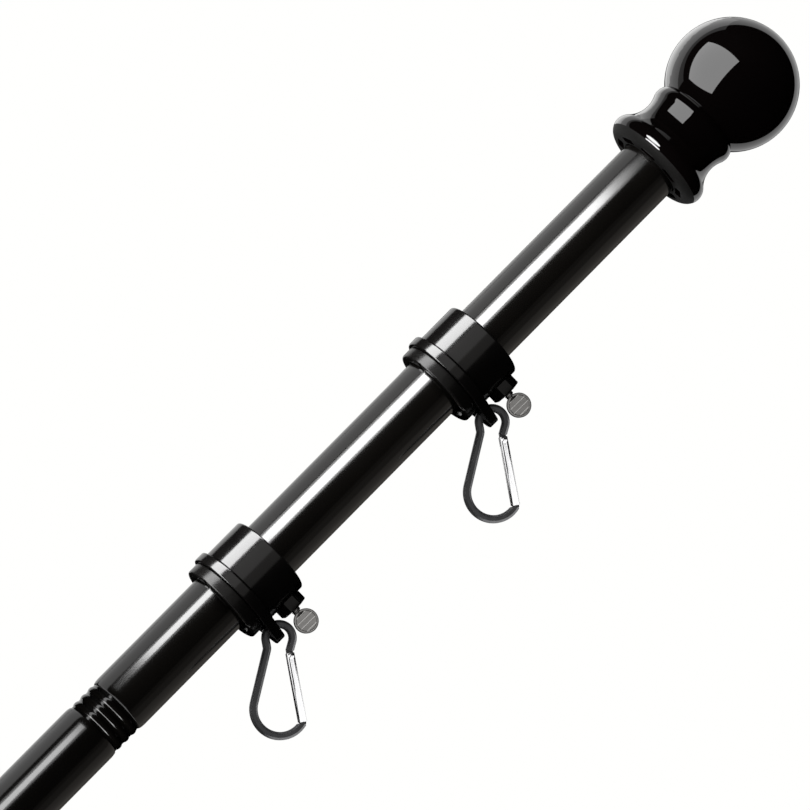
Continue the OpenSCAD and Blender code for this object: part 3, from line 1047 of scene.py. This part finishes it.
combine(gate, pin_hole, "DIFFERENCE")
smooth(gate, 30)
aluminium = ("bright_aluminium", bright, "gates")
on_both_rings(gate, "clip", "clip_gate", "gate", on_clip, *aluminium, in_gate)

# %% The rivet
half_grip = GATE_T / 2 + 0.05
outline = [(0, 0, -half_grip - 0.35)] + arc(0.45, -half_grip - 0.1, 0.25, -90, -45, 2)
outline += [(1.1, 0, -half_grip - 0.05), (1.15, 0, -half_grip), (RIVET_R, 0, -half_grip)]
outline += [(px, 0, -pz) for px, _, pz in outline[::-1]]
rivet = turn("rivet", outline, 32)
smooth(rivet, 40)
on_both_rings(rivet, "clip", "gate_rivet", "clip", on_clip, *aluminium, in_gate @ at_rivet)

# %% [markdown]
# ## Studio
# Gloss black shows nothing but what it mirrors, so the studio is what gives it shape. The background is
# white, for the camera and for reflections. A dark dome in front, which only reflections see, turns
# the faces black and leaves the white behind as a pale rim. Long narrow lights lie along the pole for
# the bright streak, and a square one stands before the finial. Each light is given the pieces that it
# lights, as is done in a studio with cards and flags.

# %% The floor
bpy.ops.mesh.primitive_plane_add(size=12, location=(0.6, 0, cad_box[0][2] - 0.002))
floor = bpy.context.object
floor.name = "floor"
floor_finish = Finish("floor", Roughness=0.85)
stains = floor_finish.noise(3, 2)
floor_finish.set(Base_Color=floor_finish.mix(stains, (0.80, 0.80, 0.79), (0.84, 0.84, 0.83)))
floor.data.materials.append(floor_finish.material)
floor.visible_glossy = False
floor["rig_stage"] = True
print("floor at", round(floor.location.z, 4))

# %% The white surround
world = bpy.data.worlds.new("studio")
bpy.context.scene.world = world
world.use_nodes = True
tree = world.node_tree
rays = tree.nodes.new("ShaderNodeLightPath")
seen = rays.outputs["Is Camera Ray"]
for kind in ("Is Glossy Ray", "Is Transmission Ray"):
    either = tree.nodes.new("ShaderNodeMath")
    either.operation = "MAXIMUM"
    tree.links.new(seen, either.inputs[0])
    tree.links.new(rays.outputs[kind], either.inputs[1])
    seen = either.outputs[0]
level = tree.nodes.new("ShaderNodeMapRange")
tree.links.new(seen, level.inputs["Value"])
level.inputs["To Min"].default_value = 0.55   # light that the world casts
level.inputs["To Max"].default_value = 1.0    # white, where it is seen
background = tree.nodes["Background"]
background.inputs["Color"].default_value = (1, 1, 0.99, 1)
tree.links.new(level.outputs[0], background.inputs["Strength"])
print("world nodes", len(tree.nodes))

# %% The dark dome in front
to_left = pole_axis.cross(to_camera).normalized()
if to_left.dot(to_right) > 0:
    to_left = -to_left
to_front = (to_camera - pole_axis * to_camera.dot(pole_axis)).normalized()
white_axis = (-to_camera + to_left * 0.49).normalized()
OPENING = math.radians(22)
bpy.ops.object.select_all(action="DESELECT")
bpy.ops.mesh.primitive_uv_sphere_add(segments=96, ring_count=64, radius=2.0, location=target)
dome = bpy.context.object
dome.name = "dome"
bpy.ops.object.transform_apply(location=True)
edit(dome)
gone = pick(dome, "verts", lambda v: (v.co - target).angle(white_axis) < OPENING)
bpy.ops.mesh.delete(type="VERT")
leave()
dome_finish = Finish("dome", Base_Color=(0.0, 0.0, 0.0), Roughness=1.0, Specular_IOR_Level=0.0)
dome.data.materials.append(dome_finish.material)
for kind in ("camera", "diffuse", "transmission", "volume_scatter", "shadow"):
    setattr(dome, "visible_" + kind, False)
dome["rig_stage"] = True
print("dome lost", gone, "corners where the background shows")


# %% How a light is made
def group(names):
    """A collection of the pieces in some groups, for a light to be given."""
    label = "lit_" + "_".join(names)
    made = bpy.data.collections.get(label)
    if not made:
        made = bpy.data.collections.new(label)
        for name in names:
            for obj in LINKED[name]:
                made.objects.link(obj)
    return made


def placed(centre, x_axis, y_axis, z_axis):
    """The matrix that puts something at a centre and turns it to three axes."""
    turned = Matrix((x_axis, y_axis, z_axis)).transposed().to_4x4()
    return Matrix.Translation(centre) @ turned


def area_light(name, centre, facing, across, size, radiance, lit, colour=(1, 1, 1)):
    """A rectangle of light of a given radiance, whose long side runs along `across`."""
    data = bpy.data.lights.new(name, "AREA")
    data.shape = "RECTANGLE"
    data.size, data.size_y = size
    data.energy = math.pi * size[0] * size[1] * radiance
    data.color = colour
    obj = bpy.data.objects.new(name, data)
    bpy.context.scene.collection.objects.link(obj)
    z_axis = -facing.normalized()
    x_axis = (across - z_axis * across.dot(z_axis)).normalized()
    obj.matrix_world = placed(centre, x_axis, z_axis.cross(x_axis), z_axis)
    obj.visible_camera = False
    if lit:
        obj.light_linking.receiver_collection = group(lit)
    return obj


def beside_pole(name, angles, distance, span, radiance, lit, colour=(1, 1, 1)):
    """A light along the pole, between two angles from the front towards the upper left."""
    middle = math.radians(sum(angles) / 2)
    width = 2 * distance * math.tan(math.radians(abs(angles[1] - angles[0]) / 2))
    out = to_front * math.cos(middle) + to_left * math.sin(middle)
    slide = distance * to_camera.dot(pole_axis) / to_camera.dot(to_front)
    centre = along_pole(sum(span) / 2).translation + out * distance - pole_axis * slide
    length = abs(span[1] - span[0]) * MM
    return area_light(name, centre, -out, pole_axis, (length, width), radiance, lit, colour)


# %% The streaks on the tubes
# The streak of each section: its angles, where it starts and ends, how bright it and its soft edge are,
# and how far the edge goes on past its end. The top section's streak changes behind the lower ring.
behind_ring = ring_height["lower"] + 5
STREAK_AWAY, EDGE_RIGHT, EDGE_LEFT, EDGE_START = 0.26, 7, 8, 4
for i in range(1, SECTIONS + 1):
    base = PLUG_FLANGE + (i - 1) * pitch
    runs = [((27, 46), base + 5, base + SECTION - 17, 10, 2.4, 8)]
    if i == SECTIONS:
        runs = [
            ((38, 59), base + 2, behind_ring, 19, 2.5, 0),
            ((26, 57), behind_ring, base + SECTION - 14, 23, 5, 16),
        ]
    lit = [f"tube_{i}"]
    for part, (angles, low, high, bright_line, soft_edge, past) in enumerate(runs):
        beside_pole(f"streak_{i}_{part}", angles, STREAK_AWAY, (low, high), bright_line, lit)
        wider = (angles[0] - EDGE_RIGHT, angles[1] + EDGE_LEFT)
        span = (low - EDGE_START, high + past)
        beside_pole(f"glow_{i}_{part}", wider, STREAK_AWAY, span, soft_edge, lit)

# %% Soft light on the tubes, the couplers, the rings and what hangs on them
WARM = (1, 0.93, 0.85)
whole = (-100, POLE_TOP + 100)
beside_pole("left_fill", (70, 128), 0.55, whole, 1.25, ["tubes"])
for start in (-47, -60):
    beside_pole(f"right_fill{start}", (start, -140), 0.55, whole, 0.07, ["tubes"], WARM)
beside_pole("right_edge", (-84, -172), 0.5, whole, 0.15, ["tubes"], WARM)
beside_pole("coupler_streak", (41, 52), 0.3, whole, 4, ["couplers"])
beside_pole("ring_streak", (49, 82), 0.3, whole, 18, ["rings"])
beside_pole("ring_front", (-24, 40), 0.7, whole, 0.28, ["rings"], (1, 0.97, 0.93))
beside_pole("ring_front_left", (4, 46), 0.6, whole, 0.45, ["rings"])
beside_pole("screw_front", (-35, 70), 0.8, whole, 0.9, ["screws"])
beside_pole("wire_front", (-30, 40), 0.8, whole, 0.3, ["wire"])
beside_pole("gate_front_right", (-66, -13), 0.8, whole, 1.2, ["gates"])
beside_pole("gate_front_left", (13, 66), 0.8, whole, 1.2, ["gates"])
beyond = (-100, POLE_TOP + 1100)
for side in (1, -1):
    beside_pole(f"flank_{side}", (side * 58, side * 122), 0.8, beyond, 2.2, ["wire"])
    beside_pole(f"gate_flank_{side}", (side * 66, side * 122), 0.8, beyond, 1.2, ["gates"])

# %% Lines on the beads and rims
# A low light down the pole from each joint draws a thin line along every bead, and a wider one
# lights the rolled rim above it.
BELOW_JOINT = 330
for i in range(1, SECTIONS):
    height = PLUG_FLANGE + i * pitch - COUPLER / 2
    spot = along_pole(height - BELOW_JOINT).translation + to_front * 0.17
    area_light(f"bead_line_{i}", spot, pole_axis, to_left, (0.62, 0.26), 9, ["couplers"])
    area_light(f"rim_line_{i}", spot, pole_axis, to_left, (0.7, 0.9), 2.2, [f"tube_{i + 1}"])

# %% Lights before the finial
# The square softbox is turned a little away from the ball, and a smaller one lights its foot.
box_way = to_front * 0.79 + to_left * 0.613
centre = ball_centre + to_front * 0.337 + to_left * 0.571 - pole_axis * 0.234
area_light("softbox", centre, -box_way, pole_axis, (1.0, 0.91), 5.4, ["ball"])
centre = ball_centre + to_front * 0.42 + to_left * 0.47 - pole_axis * 0.36
area_light("softbox_foot", centre, -box_way, pole_axis, (0.85, 0.66), 5.4, ["foot"])

# Two narrow lamps are what the flare shows as a white lens with a dark line through it.
lens_angle = math.radians(33)
lens_way = to_front * math.cos(lens_angle) + to_left * math.sin(lens_angle)
for name, drop, length, width in (("lens_top", 0.1, 0.19, 0.3), ("lens_foot", 0.35, 0.19, 0.36)):
    centre = ball_centre + lens_way * 0.46 - pole_axis * (drop + 0.04)
    area_light(name, centre, -lens_way, pole_axis, (length, width), 19, ["lip"])
    bpy.data.lights[name].shape = "ELLIPSE"

# %% The pale rim round the finial
# A white disc behind the finial draws the pale band round its outline. A black card before the disc's
# middle keeps the outline itself dark.
FINIAL = ["ball", "foot", "lip"]
behind = (-to_camera + to_left * 0.17 - pole_axis * 0.14).normalized()
centre = ball_centre + behind * 0.45
area_light("finial_rim", centre, -behind, pole_axis, (1.62, 1.62), 0.6, FINIAL)
bpy.data.lights["finial_rim"].shape = "ELLIPSE"
behind = (-to_camera * 0.6 + to_left * 0.8 - pole_axis * 0.1).normalized()
centre = ball_centre + behind * 0.6
area_light("finial_left", centre, -behind, pole_axis, (1.1, 0.55), 0.4, FINIAL)
bpy.ops.mesh.primitive_plane_add(size=1)
card = bpy.context.object
card.name = "rim_card"
edit(card)
bpy.ops.transform.resize(value=(0.28, 0.19, 1))
leave()
card_at = ball_centre - to_camera * 0.3 - pole_axis * 0.035
card.data.transform(placed(card_at, pole_axis, to_left, to_camera))
card.data.materials.append(dome_finish.material)
for kind in ("camera", "diffuse", "transmission", "volume_scatter"):
    setattr(card, "visible_" + kind, False)
card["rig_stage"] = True

# %% A broad lamp from above, for the floor and for every other side of the object
above, down, sideways = Vector((0.3, -0.6, 3.4)), Vector((0.05, 0.1, -1)), Vector((1, 0, 0))
area_light("overhead", above, down, sideways, (2.4, 2.4), 1.1, None)
print("lights", len(bpy.data.lights))

# %% The end: a last look over the shown pieces, which keeps nothing
for piece in sorted(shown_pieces(), key=lambda o: o.name):
    piece.type == "MESH" and "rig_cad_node" not in piece
